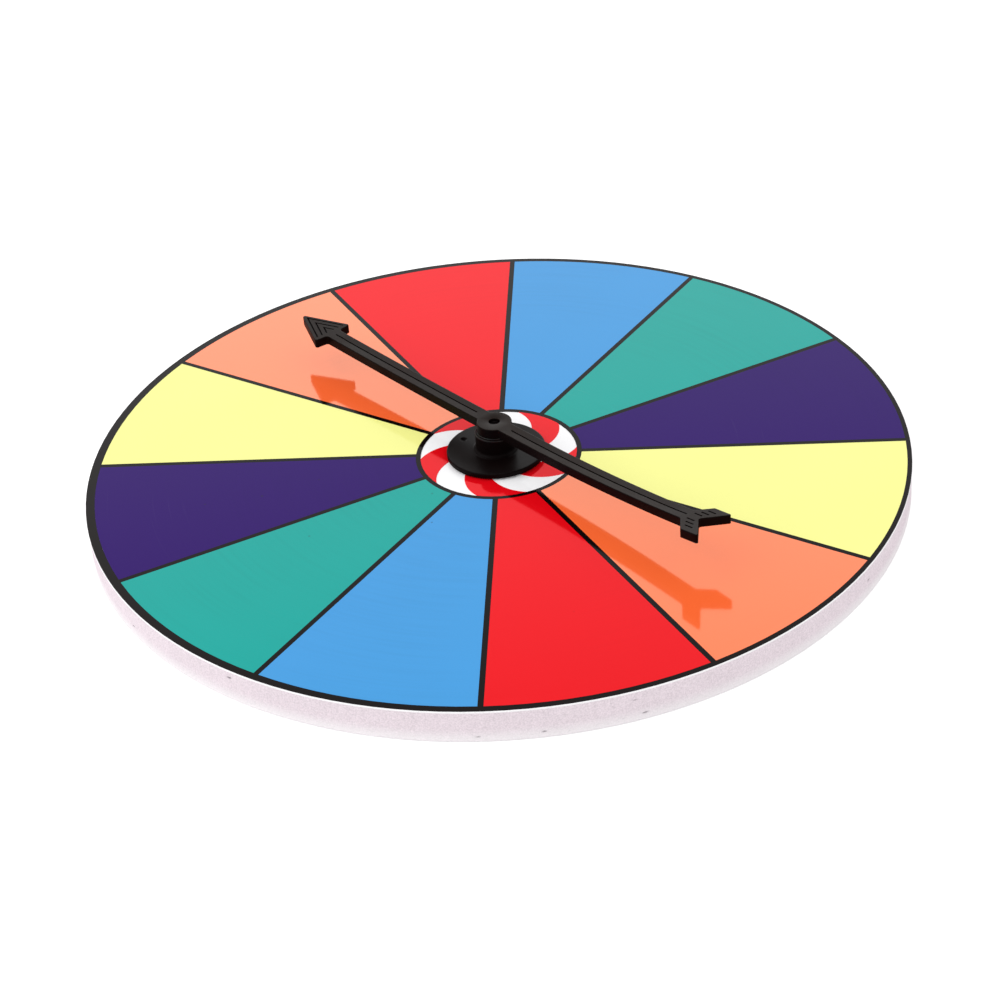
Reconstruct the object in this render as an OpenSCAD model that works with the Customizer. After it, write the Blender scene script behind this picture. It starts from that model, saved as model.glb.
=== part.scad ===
// Carnival game wheel: a round foam board with twelve coloured sectors and a spinning arrow.
// Millimetres, +Z up, origin at the centre of the board's underside.
// The line between the purple and the yellow sector runs along +X.

/* [Board] */
// Outer diameter of the foam board
board_d = 304.8; // [240:0.1:420]
// Thickness of the foam
foam_t = 12.2; // [9:0.1:25]
// Thickness of the printed sheet on top of the foam
sheet_t = 0.35; // [0.2:0.05:1]
// How far the sheet's edge stays inside the foam's edge
sheet_inset = 0.1; // [0.1:0.1:2]
// Thickness of the ink and gloss film on the sheet
ink_t = 0.15; // [0.1:0.05:0.4]

/* [Print] */
// Width of the black rim
rim_w = 2.5; // [1.5:0.1:8]
// Width of the black lines between sectors
line_w = 2; // [0.6:0.1:4]
// Outer diameter of the black ring round the swirl
ring_d = 61.8; // [52:0.1:90]
// Width of that ring's line
ring_line_w = 1.8; // [0.6:0.1:3]
// How often the row of six colours repeats round the board
colour_rounds = 2; // [1:1:4]
// Red blades in the swirl
swirl_blades = 5; // [3:1:9]
// Angle that a blade's edge sweeps from the centre to the ring
swirl_sweep = 60; // [30:1:75]
// Where the first red blade starts on the ring, in degrees from +X
swirl_start = 41; // [0:1:72]
// Off-centre shift of the whole print along +X
print_shift = 0.8; // [0:0.1:1.2]

/* [Spinner base] */
// Diameter of the adhesive pad under the flange
pad_d = 33.4; // [24:0.1:35.4]
// Hole in the middle of the adhesive pad
pad_hole_d = 12; // [8:0.1:16]
// Thickness of the adhesive pad
pad_t = 0.5; // [0.4:0.1:2]
// Diameter of the flange
flange_d = 36.8; // [36:0.1:50]
// Thickness of the flange
flange_t = 1.9; // [0.8:0.1:2.5]
// Rounding of the flange's top edge
flange_round = 0.5; // [0.1:0.1:0.7]
// Diameter of the post
post_d = 14.8; // [13.4:0.1:18]
// Height of the post from the underside of the flange
post_h = 9.3; // [7.6:0.1:14]
// Fillet where the post meets the flange
post_fillet = 1.5; // [0.5:0.1:3.5]
// Rounding of the post's top edge
post_round = 0.4; // [0.1:0.1:0.7]
// Wall of the hollow post, at its side and at its top
post_wall = 1.5; // [1:0.1:1.8]
// Diameter of the screw boss inside the post
screw_boss_d = 6; // [5:0.1:7]
// Diameter of the moulding dimple on the flange
dimple_d = 2; // [1:0.1:3]
// Depth of the dimple
dimple_depth = 0.4; // [0.2:0.1:0.6]
// Distance of the dimple from the axis
dimple_r = 14; // [12.6:0.1:16]
// Direction of the dimple, in degrees from +X
dimple_angle = 152.6; // [0:0.1:359.9]

/* [Pivot] */
// Diameter of the pivot pin
pivot_d = 3.4; // [2.8:0.1:3.6]
// Running clearance round the pivot pin
pivot_gap = 0.05; // [0.02:0.01:0.1]
// Length of the pointer's bearing on the pin
bearing_h = 1.6; // [1.2:0.1:1.9]
// Free play along the pin
end_play = 0.15; // [0.1:0.05:0.3]
// How far the snap barb stands out from the pin
barb_lip = 0.25; // [0.15:0.05:0.4]
// Room round the barb in the hole that shows in the boss
barb_gap = 0.15; // [0.1:0.05:0.6]
// Straight height of the barb
barb_h = 0.4; // [0.2:0.1:0.6]
// Height of the barb's lead-in cone
barb_cone_h = 0.7; // [0.4:0.1:0.8]
// Width of the slot that lets the pin spring
pivot_slot_w = 0.7; // [0.4:0.1:0.9]
// Outer diameter of the thrust washer
thrust_d = 13.6; // [10:0.1:14]
// Thickness of the thrust washer
thrust_t = 0.5; // [0.3:0.1:1]
// Room round the pin in the thrust washer
thrust_gap = 0.1; // [0.05:0.05:0.4]

/* [Pointer] */
// Direction that the pointer rests in, in degrees from +X
rest_angle = 134.1; // [0:0.1:359.9]
// Diameter of the boss
boss_d = 13; // [11:0.1:14]
// Height of the boss
boss_h = 3.6; // [3.6:0.1:6]
// Width of the arms
arm_w = 6.5; // [4:0.05:8]
// Thickness of the arms
arm_t = 3.5; // [1.5:0.1:3.5]
// Width of the tail arm where it meets the feathers
tail_arm_w = 6.6; // [4:0.1:9]
// Pivot to the tip of the arrow head
head_reach = 114.5; // [90:0.5:118]
// Length of the arrow head along the arm
head_len = 19; // [14:0.5:26]
// Width of the arrow head across its barbs
head_w = 17.4; // [12:0.1:24]
// How far the head's back edge slopes from its barbs back to the arm
head_back_slope = 0.6; // [0:0.1:3]
// Pivot to the ends of the tail feathers
tail_reach = 112.7; // [88:0.1:118]
// Length of the straight outer edge of a feather
feather_len = 8.4; // [4:0.1:12]
// Length of the slanted front edge of a feather
feather_slant = 5.1; // [3:0.1:9]
// Width across the tail feathers
tail_w = 17; // [12:0.1:24]
// Depth of the notch between the feathers
notch_depth = 7.8; // [3:0.1:9]
// Distance from the pivot to where the arms start to bend up
bend_start = 16; // [8:1:30]
// Radius of the upward bend of the head arm
head_bend_r = 3200; // [1500:50:9000]
// Radius of the upward bend of the tail arm
tail_bend_r = 780; // [500:10:9000]

/* [Engraving] */
// Width of the engraved lines
groove_w = 0.6; // [0.4:0.05:0.9]
// Depth of the engraved lines
groove_depth = 0.35; // [0.1:0.05:0.6]
// Bare stretch of arm beside the boss, before the centre line starts
groove_clear = 3; // [1:0.1:6]
// Bare stretch of arm behind the head, after the centre line ends
groove_end = 1.6; // [0:0.1:6]
// Nested angles engraved on the head
chevron_count = 3; // [1:1:4]
// Plain edge outside the first angle
chevron_edge = 1.2; // [0.6:0.1:2]
// Distance between the nested angles, square to their lines
chevron_pitch = 2.1; // [1.4:0.1:3]
// Plain strip behind the nested angles
chevron_back = 1.6; // [0.6:0.1:4]
// Engraved strokes on each feather
vane_count = 3; // [1:1:4]
// Length of a stroke
vane_len = 3.6; // [1:0.1:4.2]
// Distance between the strokes, across the pointer
vane_pitch = 1.9; // [1.2:0.05:2]
// How far each stroke lies behind the one before it
vane_sweep = 1.4; // [0:0.1:2]
// How far the middle of the first stroke lies in front of the notch
vane_lead = 2.1; // [2:0.1:4]

/* [Fixing] */
// Diameter of the screw
screw_d = 3; // [2.5:0.1:3.5]
// Clearance round the screw in its holes
screw_gap = 0.1; // [0.05:0.05:0.3]
// How deep the screw goes into the post
screw_bite = 5; // [3:0.1:5.6]
// Length of the screw's point
screw_point = 1.5; // [0.5:0.1:2.5]
// Diameter of the screw's head
screw_head_d = 5.6; // [4.6:0.1:8]
// Height of the screw's head
screw_head_h = 1.9; // [1.2:0.1:2.4]
// Depth of the cross in the screw's head
screw_cross_depth = 1; // [0.4:0.1:1.1]
// Length of the cross from end to end
screw_cross_len = 3.4; // [2:0.1:4.4]
// Width of the cross's slots
screw_cross_w = 0.75; // [0.4:0.05:1.2]
// Diameter of the blunt end of the screw's point
screw_tip_d = 0.8; // [0.4:0.1:2]
// Diameter of the washer at the back
washer_d = 20; // [12:0.1:30]
// Thickness of that washer
washer_t = 1; // [0.5:0.1:1.5]
// Room round the washer in its recess
recess_gap = 0.5; // [0.2:0.1:2]
// How far the screw's head stays above the board's underside
recess_clear = 1; // [0.5:0.1:3]

/* [Hidden] */
$fn = 96;

// Colours of the six inks in the order in which they follow each other, anticlockwise from +X
PURPLE = 0;
GREEN = 1;
BLUE = 2;
RED = 3;
ORANGE = 4;
YELLOW = 5;
INKS = [[0.16, 0.10, 0.40], [0.05, 0.52, 0.45], [0.22, 0.52, 0.88],
        [0.93, 0.10, 0.13], [0.98, 0.52, 0.32], [1.00, 0.98, 0.45]];
BLACK_INK = [0.06, 0.06, 0.06];
BLACK_PLASTIC = [0.08, 0.08, 0.08];
WHITE_FOAM = [0.95, 0.94, 0.95];
WHITE_SHEET = [0.98, 0.98, 0.98];
CREAM_PAD = [0.88, 0.87, 0.82];
STEEL = [0.70, 0.71, 0.73];

// How far a cut runs past the face that it opens
cut = 1;

// Heights of the stack, from the underside up
sheet_z = foam_t;
ink_z = sheet_z + sheet_t;
face_z = ink_z + ink_t;
flange_z = face_z + pad_t;
post_top_z = flange_z + post_h;
boss_z = post_top_z + thrust_t + end_play / 2;
ledge_z = boss_z + bearing_h;
barb_z = ledge_z + end_play / 2;

// Heights under the board
washer_z = recess_clear + screw_head_h;
recess_top_z = washer_z + washer_t;

// Print
sheet_r = board_d / 2 - sheet_inset;
field_r = sheet_r - rim_w;
ring_r = ring_d / 2;
swirl_r = ring_r - ring_line_w;
sector_count = len(INKS) * colour_rounds;
sector_angle = 360 / sector_count;
swirl_arc_d = swirl_r / sin(swirl_sweep);
blade_angle = 180 / swirl_blades;

// Holes that follow what goes through them
screw_hole_d = screw_d + 2 * screw_gap;
bearing_d = pivot_d + 2 * pivot_gap;
boss_hole_d = pivot_d + 2 * (barb_lip + barb_gap);
thrust_hole_d = pivot_d + 2 * thrust_gap;

// Pointer, measured along its own axis with the pivot at 0 and the head towards +
arm_step = 6;
head_back = head_reach - head_len;
head_half_angle = atan((head_w / 2) / head_len);
notch_s = tail_reach - notch_depth;
feather_s = tail_reach - feather_len;
feather_root_s = feather_s - feather_slant;
head_root = head_back - head_back_slope;
groove_start = boss_d / 2 + groove_clear;

// How far a point of the pointer is bent up, at a distance s along its axis
function bend_r(s) = s > 0 ? head_bend_r : tail_bend_r;
function rise(s) = pow(max(0, abs(s) - bend_start), 2) / (2 * bend_r(s));

module disc(d, z, t) {
    translate([0, 0, z]) cylinder(d = d, h = t);
}

module screw_hole(z, t) {
    disc(screw_hole_d, z - cut, t + 2 * cut);
}

// A film of ink on the sheet, from a flat shape drawn about the centre of the print
module film() {
    difference() {
        translate([print_shift, 0, ink_z]) linear_extrude(ink_t) children();
        screw_hole(ink_z, ink_t);
    }
}

// One coloured field: a sector with half a line's width taken off each straight side
module sector_field(index) {
    half = sector_angle / 2;
    apex = line_w / 2 / sin(half);
    far = board_d;
    intersection() {
        difference() {
            circle(r = field_r, $fn = 360);
            circle(r = ring_r, $fn = 180);
        }
        rotate((index + 0.5) * sector_angle) translate([apex, 0])
            polygon([[0, 0], [far * cos(half), -far * sin(half)], [far * cos(half), far * sin(half)]]);
    }
}

// All fields of one of the six colours
module colour_fields(colour) {
    for (round = [0:colour_rounds - 1]) sector_field(colour + round * len(INKS));
}

module sector_ink(colour) {
    color(INKS[colour]) film() colour_fields(colour);
}

// A circle through the centre of the print, whose near side is one curved edge of a blade
module swirl_edge(angle) {
    rotate(angle - swirl_sweep) translate([0, swirl_arc_d / 2]) circle(d = swirl_arc_d, $fn = 180);
}

module foam_board() {
    color(WHITE_FOAM) difference() {
        cylinder(d = board_d, h = foam_t, $fn = 360);
        screw_hole(0, foam_t);
        disc(washer_d + 2 * recess_gap, -cut, recess_top_z + cut);
    }
}

module face_sheet() {
    color(WHITE_SHEET) difference() {
        translate([0, 0, sheet_z]) cylinder(r = sheet_r, h = sheet_t, $fn = 360);
        screw_hole(sheet_z, sheet_t);
    }
}

module outline_ink() {
    color(BLACK_INK) film() difference() {
        translate([-print_shift, 0]) circle(r = sheet_r, $fn = 360);
        for (index = [0:sector_count - 1]) sector_field(index);
        circle(r = swirl_r, $fn = 180);
    }
}

module red_ink() { sector_ink(RED); }
module orange_ink() { sector_ink(ORANGE); }
module yellow_ink() { sector_ink(YELLOW); }
module green_ink() { sector_ink(GREEN); }
module blue_ink() { sector_ink(BLUE); }
module purple_ink() { sector_ink(PURPLE); }

module swirl_ink() {
    color(INKS[RED]) film() for (blade = [0:swirl_blades - 1])
        rotate(blade * 2 * blade_angle) intersection() {
            circle(r = swirl_r, $fn = 180);
            difference() {
                swirl_edge(swirl_start);
                swirl_edge(swirl_start + blade_angle);
            }
        }
}

module adhesive_pad() {
    color(CREAM_PAD) difference() {
        disc(pad_d, face_z, pad_t);
        disc(pad_hole_d, face_z - cut, pad_t + 2 * cut);
    }
}

// Half section of a round block whose top edge is rounded
module rounded_block(r, h, round) {
    square([r - round, h]);
    square([r, h - round]);
    translate([r - round, h - round]) circle(r = round);
}

// Half section of the flange and the post, with the fillet between them
module base_section() {
    flange_r = flange_d / 2;
    post_r = post_d / 2;
    rounded_block(flange_r, flange_t, flange_round);
    rounded_block(post_r, post_h, post_round);
    translate([post_r, flange_t]) difference() {
        square(post_fillet);
        translate([post_fillet, post_fillet]) circle(r = post_fillet);
    }
}

// Half section of the pivot pin with its snap barb, from the top of the post up
module pivot_section() {
    pivot_r = pivot_d / 2;
    barb_r = pivot_r + barb_lip;
    root = -post_wall / 2;
    barb = barb_z - post_top_z;
    top = barb + barb_h + barb_cone_h;
    polygon([[0, root], [pivot_r, root], [pivot_r, barb], [barb_r, barb], [barb_r, barb + barb_h],
             [pivot_r - barb_lip, top], [0, top]]);
}

module spinner_base() {
    pilot_depth = screw_bite + screw_point / 2;
    slot_h = barb_z + barb_h + barb_cone_h - post_top_z + cut;
    color(BLACK_PLASTIC) difference() {
        union() {
            translate([0, 0, flange_z]) rotate_extrude() base_section();
            translate([0, 0, post_top_z]) rotate_extrude() pivot_section();
        }
        difference() {
            disc(post_d - 2 * post_wall, flange_z - cut, post_h - post_wall + cut);
            disc(screw_boss_d, flange_z - 2 * cut, post_h + 2 * cut);
        }
        disc(screw_hole_d, flange_z - cut, pilot_depth + cut);
        rotate(dimple_angle) translate([dimple_r, 0])
            disc(dimple_d, flange_z + flange_t - dimple_depth, cut);
        translate([-barb_lip - pivot_d, -pivot_slot_w / 2, post_top_z + thrust_t])
            cube([2 * (barb_lip + pivot_d), pivot_slot_w, slot_h]);
    }
}

module thrust_washer() {
    color(BLACK_PLASTIC) difference() {
        disc(thrust_d, post_top_z, thrust_t);
        disc(thrust_hole_d, post_top_z - cut, thrust_t + 2 * cut);
    }
}

// A bar that follows the pointer's bend, between two depths under its top face
module bent_bar(depth_low, depth_high, width) {
    stations = [for (s = [-tail_reach - cut:arm_step:head_reach + cut + arm_step]) s];
    upper = [for (s = stations) [s, boss_h + rise(s) - depth_high]];
    lower = [for (i = [len(stations) - 1:-1:0]) [stations[i], boss_h + rise(stations[i]) - depth_low]];
    rotate([90, 0, 0]) translate([0, 0, -width / 2]) linear_extrude(width) polygon(concat(upper, lower));
}

// Flat outline of the arrow head, the arms and the feathered tail, without the boss
module pointer_outline() {
    half_arm = arm_w / 2;
    half_tail_arm = tail_arm_w / 2;
    half_head = head_w / 2;
    half_tail = tail_w / 2;
    polygon([
        [0, -half_arm], [head_root, -half_arm], [head_back, -half_head], [head_reach, 0],
        [head_back, half_head], [head_root, half_arm], [0, half_arm],
        [-feather_root_s, half_tail_arm], [-feather_s, half_tail], [-tail_reach, half_tail],
        [-notch_s, 0],
        [-tail_reach, -half_tail], [-feather_s, -half_tail], [-feather_root_s, -half_tail_arm]
    ]);
}

// One engraved angle on the head, parallel to its two front edges, if the head has room for it
module chevron(inset) {
    tip = head_reach - inset / sin(head_half_angle);
    line_len = (tip - head_back - chevron_back) / cos(head_half_angle);
    if (line_len > groove_w)
        for (side = [-1, 1])
            translate([tip, 0]) rotate(180 - side * head_half_angle)
                translate([0, side > 0 ? 0 : -groove_w]) square([line_len, groove_w]);
}

// All engraved lines, drawn flat
module engraving() {
    half_w = groove_w / 2;
    translate([groove_start, -half_w]) square([head_root - groove_end - groove_start, groove_w]);
    translate([-feather_root_s, -half_w]) square([feather_root_s - groove_start, groove_w]);
    for (i = [0:chevron_count - 1]) chevron(chevron_edge + i * chevron_pitch);
    for (side = [-1, 1])
        for (i = [0:vane_count - 1])
            translate([vane_lead - notch_s - i * vane_sweep, side * (i + 1) * vane_pitch])
                square([vane_len, groove_w], center = true);
}

module pointer() {
    wide = head_w + tail_w;
    color(BLACK_PLASTIC) translate([0, 0, boss_z]) rotate(rest_angle) difference() {
        union() {
            cylinder(d = boss_d, h = boss_h);
            intersection() {
                bent_bar(arm_t, 0, wide);
                linear_extrude(2 * board_d, center = true) pointer_outline();
            }
        }
        intersection() {
            bent_bar(groove_depth, -cut, wide);
            linear_extrude(2 * board_d, center = true) engraving();
        }
        disc(bearing_d, -cut, boss_h + 2 * cut);
        disc(boss_hole_d, bearing_h, boss_h);
    }
}

module back_washer() {
    color(STEEL) difference() {
        disc(washer_d, washer_z, washer_t);
        screw_hole(washer_z, washer_t);
    }
}

module fixing_screw() {
    tip_z = flange_z + screw_bite;
    color(STEEL) difference() {
        union() {
            disc(screw_head_d, recess_clear, screw_head_h);
            disc(screw_d, washer_z, tip_z - screw_point - washer_z);
            translate([0, 0, tip_z - screw_point])
                cylinder(d1 = screw_d, d2 = screw_tip_d, h = screw_point);
        }
        for (turn = [0, 90])
            rotate(turn) translate([-screw_cross_len / 2, -screw_cross_w / 2, recess_clear - cut])
                cube([screw_cross_len, screw_cross_w, screw_cross_depth + cut]);
    }
}

foam_board();
face_sheet();
outline_ink();
red_ink();
orange_ink();
yellow_ink();
green_ink();
blue_ink();
purple_ink();
swirl_ink();
adhesive_pad();
spinner_base();
thrust_washer();
pointer();
back_washer();
fixing_screw();
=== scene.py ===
import math

import bpy
from mathutils import Matrix, Vector
from mathutils.geometry import delaunay_2d_cdt


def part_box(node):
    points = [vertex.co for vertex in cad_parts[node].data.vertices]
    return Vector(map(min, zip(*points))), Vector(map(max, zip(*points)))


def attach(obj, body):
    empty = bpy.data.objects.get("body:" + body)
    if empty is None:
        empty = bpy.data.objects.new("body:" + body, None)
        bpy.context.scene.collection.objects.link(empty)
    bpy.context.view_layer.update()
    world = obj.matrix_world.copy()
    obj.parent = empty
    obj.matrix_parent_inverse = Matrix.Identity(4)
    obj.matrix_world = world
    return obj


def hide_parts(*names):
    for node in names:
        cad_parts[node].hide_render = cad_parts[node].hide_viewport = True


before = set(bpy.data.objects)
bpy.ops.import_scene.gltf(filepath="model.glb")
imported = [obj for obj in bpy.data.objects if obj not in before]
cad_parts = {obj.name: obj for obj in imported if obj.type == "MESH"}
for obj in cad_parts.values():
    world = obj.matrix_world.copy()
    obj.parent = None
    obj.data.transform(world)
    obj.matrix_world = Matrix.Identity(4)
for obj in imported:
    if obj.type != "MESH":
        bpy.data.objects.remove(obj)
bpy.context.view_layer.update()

bl_info = {
    "name": "Carnival game wheel",
    "version": (1, 0, 0),
    "blender": (4, 5, 0),
    "location": "3D View > Sidebar > Game Wheel",
    "description": "Dresses a foam game wheel that has a printed face and a spinning arrow",
    "category": "Object",
}

MM = 0.001
LONGEST_EDGE = 2.5 * MM
DRAFT = 0.12 * MM
BOARD_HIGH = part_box("foam_board")[1]
SHEET_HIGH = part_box("face_sheet")[1]
BASE_LOW, BASE_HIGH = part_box("spinner_base")
THRUST_LOW, THRUST_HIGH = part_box("thrust_washer")
POINTER_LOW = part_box("pointer")[0]
WASHER_LOW, WASHER_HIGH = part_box("back_washer")
SCREW_LOW, SCREW_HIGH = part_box("fixing_screw")


# Properties

def size(name, text, value):
    return bpy.props.FloatProperty(
        name=name, description=text, default=value, min=0.0, precision=5, unit="LENGTH")


def turn(name, text, degrees):
    return bpy.props.FloatProperty(
        name=name, description=text, default=math.radians(degrees), unit="ROTATION")


def share(name, text, value):
    return bpy.props.FloatProperty(name=name, description=text, default=value, min=0.0, subtype="FACTOR")


def colour(name, text, value):
    return bpy.props.FloatVectorProperty(
        name=name, description=text, default=value, size=3, min=0.0, max=1.0, subtype="COLOR")


class BoardSettings(bpy.types.PropertyGroup):
    """Sizes and colours of the foam board"""
    radius: size("Radius", "Radius of the foam board", BOARD_HIGH.x)
    thickness: size("Thickness", "Thickness of the foam", BOARD_HIGH.z)
    top_round: size("Top rounding", "Rounding of the board's top edge", 0.15 * MM)
    low_round: size("Low rounding", "Rounding of the board's bottom edge", 0.6 * MM)
    recess_radius: size("Recess radius", "Radius of the recess for the back washer", 10.5 * MM)
    recess_depth: size("Recess depth", "Depth of that recess", WASHER_HIGH.z)
    hole_radius: size("Hole radius", "Radius of the hole for the screw", 1.6 * MM)
    wave_size: size("Wave size", "Width of the broad unevenness of the cut edge", 7 * MM)
    wave_depth: size("Wave depth", "Depth of that unevenness", 0.12 * MM)
    streak_width: size("Streak width", "Width of the upright marks of the cutter", 1.3 * MM)
    streak_depth: size("Streak depth", "Depth of those marks", 0.05 * MM)
    pit_spacing: size("Pit spacing", "Mean distance between open cells in the edge", 11 * MM)
    pit_width: size("Pit width", "Half width of an open cell", 1.3 * MM)
    pit_flatness: share("Pit flatness", "How many times wider than tall an open cell is", 3.6)
    pit_depth: size("Pit depth", "Depth of an open cell", 0.4 * MM)
    skin: size("Skin", "Height of the smooth pale skin under the printed sheet", 0.3 * MM)
    foam: colour("Foam", "Colour of the foam", (0.83, 0.731, 0.783))
    pad: colour("Pad", "Colour of the adhesive pad", (0.62, 0.60, 0.52))


class PrintSettings(bpy.types.PropertyGroup):
    """Colours of the printed face"""
    white: colour("White", "Bare white sheet", (0.98, 0.975, 0.985))
    black: colour("Black", "Black lines", (0.004, 0.002, 0.002))
    red: colour("Red", "Red fields", (0.95, 0.003, 0.009))
    swirl: colour("Swirl red", "Red blades of the swirl", (0.93, 0.003, 0.009))
    orange: colour("Orange", "Orange fields", (1.0, 0.178, 0.044))
    yellow: colour("Yellow", "Yellow fields", (0.94, 0.94, 0.32))
    green: colour("Green", "Green fields", (0.003, 0.392, 0.345))
    blue: colour("Blue", "Blue fields", (0.060, 0.345, 0.756))
    purple: colour("Purple", "Purple fields", (0.027, 0.001, 0.143))


class BaseSettings(bpy.types.PropertyGroup):
    """Sizes and colours of the spinner's base"""
    flange_radius: size("Flange radius", "Radius of the flange", BASE_HIGH.x)
    flange_thickness: size("Flange thickness", "Thickness of the flange", 1.9 * MM)
    flange_round: size("Flange rounding", "Rounding of the flange's top edge", 0.5 * MM)
    post_radius: size("Post radius", "Radius of the post", 7.4 * MM)
    post_fillet: size("Post fillet", "Fillet between the post and the flange", 1.5 * MM)
    post_round: size("Post rounding", "Rounding of the post's top edge", 0.4 * MM)
    post_wall: size("Post wall", "Wall of the hollow post", 1.5 * MM)
    boss_radius: size("Screw boss radius", "Radius of the screw boss inside the post", 3 * MM)
    pilot_radius: size("Pilot radius", "Radius of the screw's hole", 1.6 * MM)
    pilot_depth: size("Pilot depth", "Depth of the screw's pilot hole", 5.75 * MM)
    pin_radius: size("Pin radius", "Radius of the pivot pin", 1.7 * MM)
    pin_slot: size("Pin slot", "Width of the slot in the pivot pin", 0.7 * MM)
    barb_lip: size("Barb lip", "How far the snap barb stands out from the pin", 0.25 * MM)
    barb_height: size("Barb height", "Straight height of the barb", 0.4 * MM)
    barb_cone: size("Barb cone", "Height of the barb's lead-in cone", 0.7 * MM)
    dimple_radius: size("Dimple radius", "Radius of the moulding dimple", 1.15 * MM)
    dimple_depth: size("Dimple depth", "Depth of the moulding dimple", 0.4 * MM)
    dimple_reach: size("Dimple reach", "Distance of the dimple from the axis", 14 * MM)
    dimple_angle: turn("Dimple angle", "Direction of the dimple", 152.6)
    plastic: colour("Plastic", "Colour of the moulding", (0.0035, 0.0012, 0.0012))
    worn: colour("Worn plastic", "Colour of its rubbed edges", (0.014, 0.013, 0.013))
    # Painted shade: a darker copy of the plastic for the walls, grooves and holes of the base and the pointer
    wall: colour("Wall", "Colour of the upright walls", (0.0022, 0.0005, 0.0005))


class PointerSettings(bpy.types.PropertyGroup):
    """Sizes and colours of the pointer"""
    rest_angle: turn("Rest angle", "Direction that the head rests in", 134.1)
    boss_radius: size("Boss radius", "Radius of the boss", 6.5 * MM)
    boss_height: size("Boss height", "Height of the boss", 3.6 * MM)
    boss_fillet: size("Boss fillet", "Fillet between the boss and the arms", 0.9 * MM)
    bore_radius: size("Bore radius", "Radius of the bearing", 1.75 * MM)
    bore_height: size("Bore height", "Length of the bearing", 1.6 * MM)
    hole_radius: size("Hole radius", "Radius of the hole over the bearing", 2.1 * MM)
    hole_round: size("Hole rounding", "Rounding of that hole's rim", 0.25 * MM)
    arm_half: size("Arm half width", "Half width of the arms", 3.25 * MM)
    arm_thickness: size("Arm thickness", "Thickness of the arms", 3.5 * MM)
    arm_sink: size("Arm sink", "How far the arm's middle sinks under its edges", 0.16 * MM)
    tail_arm_half: size("Tail arm half width", "Half width of the tail arm at the feathers", 3.3 * MM)
    head_apex: size("Head apex", "Pivot to where the head's edges meet", 115.1 * MM)
    head_back: size("Head back", "Pivot to the head's barbs", 95.5 * MM)
    head_half: size("Head half width", "Half width across the barbs", 8.7 * MM)
    head_slope: size("Head slope", "How far the back edge slopes to the arm", 0.6 * MM)
    tail_reach: size("Tail reach", "Pivot to the ends of the feathers", 112.7 * MM)
    tail_half: size("Tail half width", "Half width across the feathers", 8.5 * MM)
    feather_length: size("Feather length", "Straight outer edge of a feather", 8.4 * MM)
    feather_slant: size("Feather slant", "Slanted front edge of a feather", 5.1 * MM)
    notch_depth: size("Notch depth", "Depth of the notch between the feathers", 7.8 * MM)
    bend_start: size("Bend start", "Pivot to where the arms start to bend up", 16 * MM)
    head_bend: size("Head bend", "Radius of the head arm's bend", 3.2)
    tail_bend: size("Tail bend", "Radius of the tail arm's bend", 0.78)
    edge_round: size("Edge rounding", "Rounding of the top edges", 0.3 * MM)
    groove_width: size("Groove width", "Width of the engraved lines", 0.6 * MM)
    groove_depth: size("Groove depth", "Depth of the engraved lines", 0.35 * MM)
    groove_start: size("Groove start", "Pivot to the start of the centre line", 9.5 * MM)
    groove_end: size("Groove end", "Bare arm between the centre line and the head", 1.6 * MM)
    chevron_edge: size("Chevron edge", "Plain edge outside the first angle on the head", 1.2 * MM)
    chevron_pitch: size("Chevron pitch", "Distance between the angles on the head", 2.1 * MM)
    chevron_back: size("Chevron back", "Plain strip behind those angles", 1.6 * MM)
    vane_length: size("Vane length", "Length of a stroke on the feathers", 3.6 * MM)
    vane_pitch: size("Vane pitch", "Distance between the strokes", 1.9 * MM)
    vane_sweep: size("Vane sweep", "How far each stroke lies behind the last", 1.4 * MM)
    vane_lead: size("Vane lead", "Middle of the first stroke in front of the notch", 2.1 * MM)
    plastic: colour("Plastic", "Colour of the moulding", (0.011, 0.005, 0.003))
    worn: colour("Worn plastic", "Colour of its rubbed edges", (0.030, 0.022, 0.018))


class FixingSettings(bpy.types.PropertyGroup):
    """Sizes and colours of the washers and the screw"""
    thrust_radius: size("Thrust radius", "Radius of the thrust washer", THRUST_HIGH.x)
    thrust_hole: size("Thrust hole", "Radius of the thrust washer's hole", 1.8 * MM)
    washer_radius: size("Washer radius", "Radius of the back washer", WASHER_HIGH.x)
    washer_hole: size("Washer hole", "Radius of the back washer's hole", 1.6 * MM)
    washer_round: size("Washer rounding", "Rounding of the washers' edges", 0.15 * MM)
    head_radius: size("Head radius", "Radius of the screw's head", 2.8 * MM)
    head_round: size("Head rounding", "Rounding of the screw's head", 0.7 * MM)
    shank_radius: size("Shank radius", "Radius of the screw's shank", 1.5 * MM)
    point_length: size("Point length", "Length of the screw's point", 1.5 * MM)
    tip_radius: size("Tip radius", "Radius of the point's blunt end", 0.4 * MM)
    cross_length: size("Cross length", "Half length of the cross", 1.7 * MM)
    cross_width: size("Cross width", "Half width of the cross's slots", 0.375 * MM)
    cross_depth: size("Cross depth", "Depth of the cross", 1 * MM)
    steel: colour("Steel", "Colour of the zinc-plated steel", (0.60, 0.61, 0.64))
    washer: colour("Washer", "Colour of the thrust washer", (0.003, 0.003, 0.003))


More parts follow.
